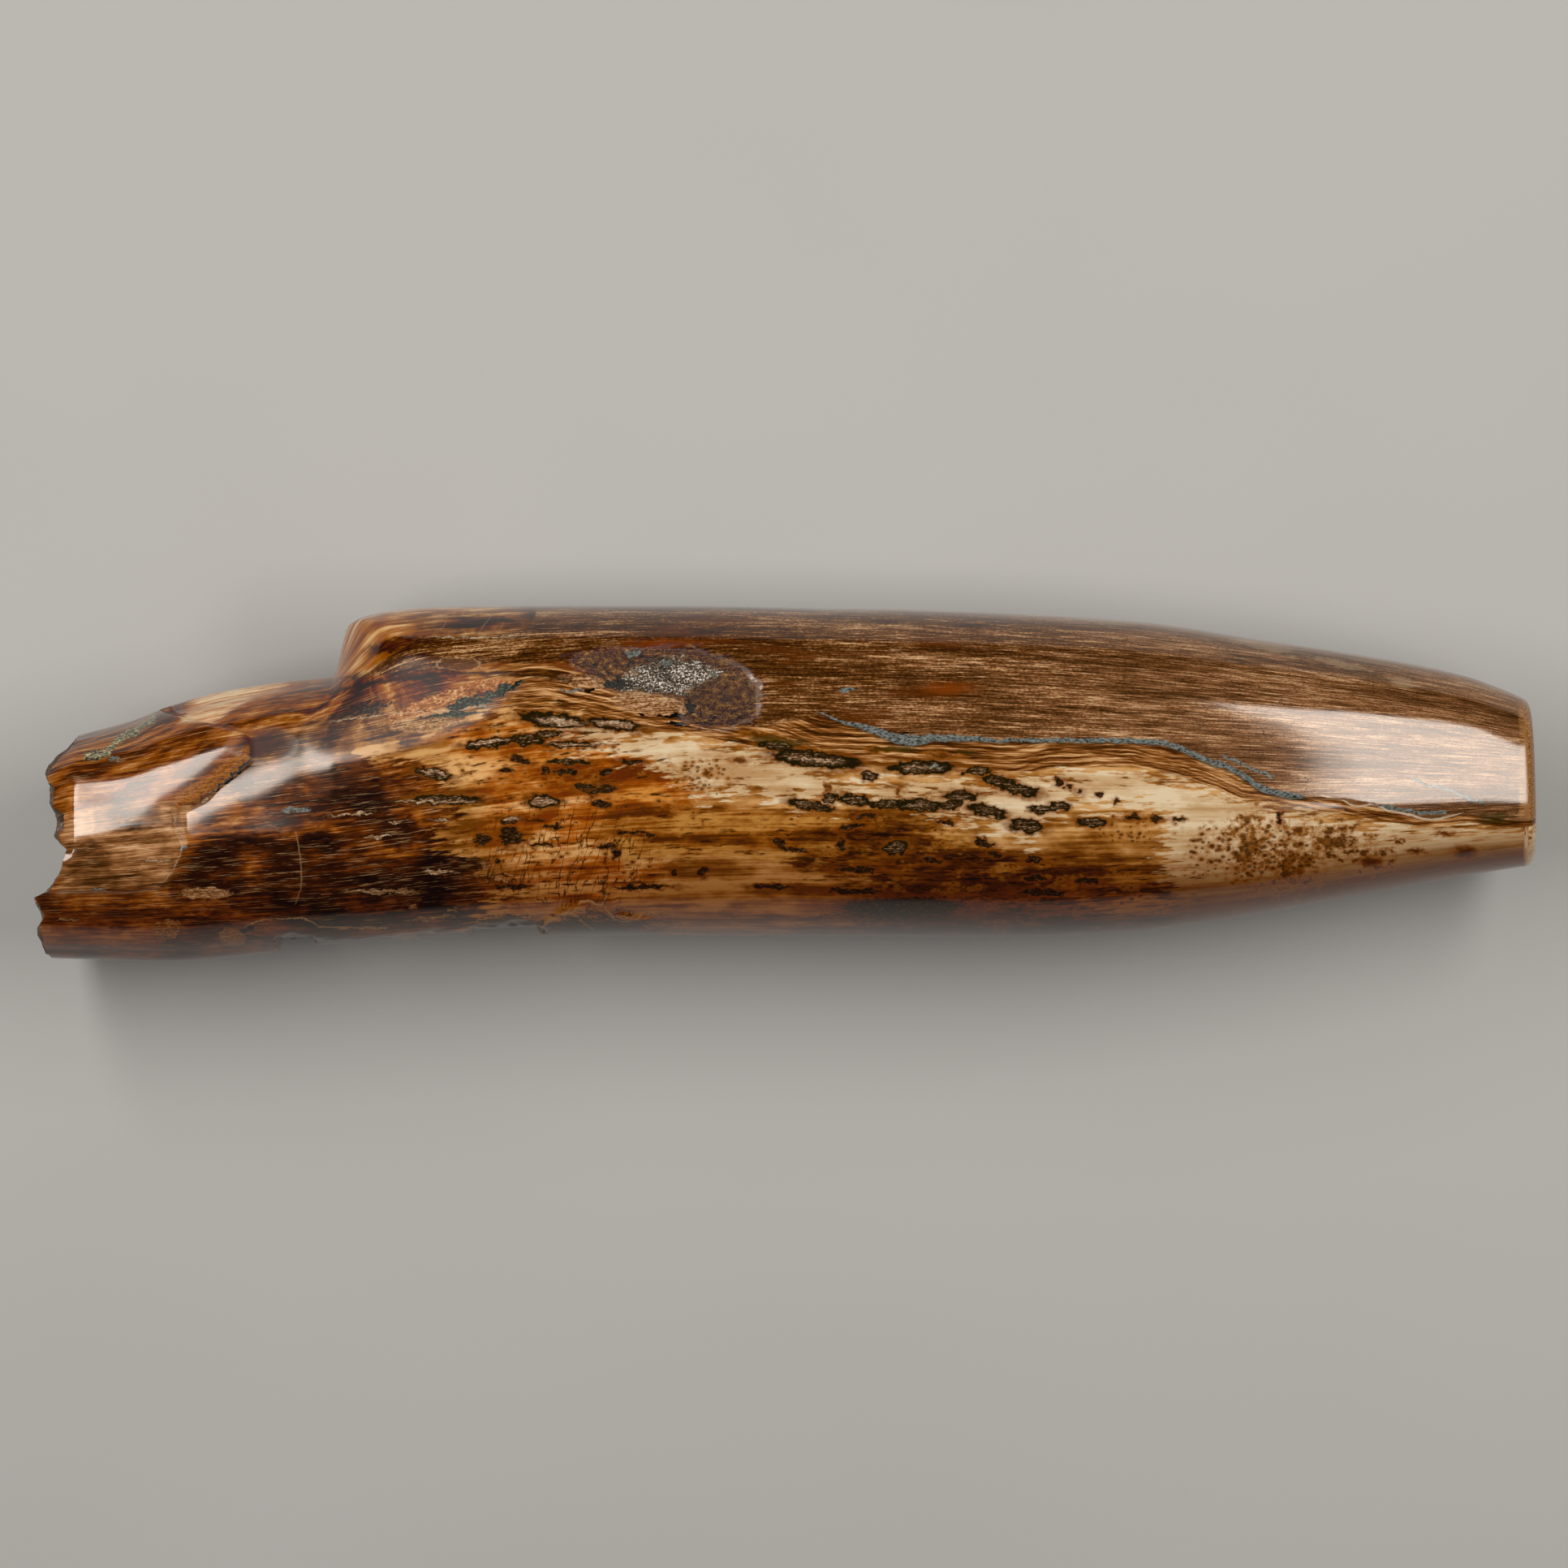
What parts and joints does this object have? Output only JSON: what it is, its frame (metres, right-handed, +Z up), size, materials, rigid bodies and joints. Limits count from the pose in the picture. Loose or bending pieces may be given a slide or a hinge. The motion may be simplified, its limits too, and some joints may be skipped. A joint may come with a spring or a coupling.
{
  "type": "fossil woolly mammoth tusk section",
  "caption": "Polished section of fossil mammoth tusk lying on its side: tapers to a flat sawn end, jagged broken end, brown bark above cream and honey ivory with dark lens marks.",
  "frame": {"origin": "middle of the underside: the bounding box's bottom centre, on the surface that the section lies on", "axes": "+X along the tusk from the broken end to the sawn end; +Z up, out of the polished face that is shown; +Y across, towards the bark-covered far edge"},
  "size_m": [0.4, 0.095, 0.0766],
  "materials": {
    "polished_tusk": null
  },
  "bodies": {
    "root": {"tusk_section": "polished_tusk"}
  },
  "joints": []
}
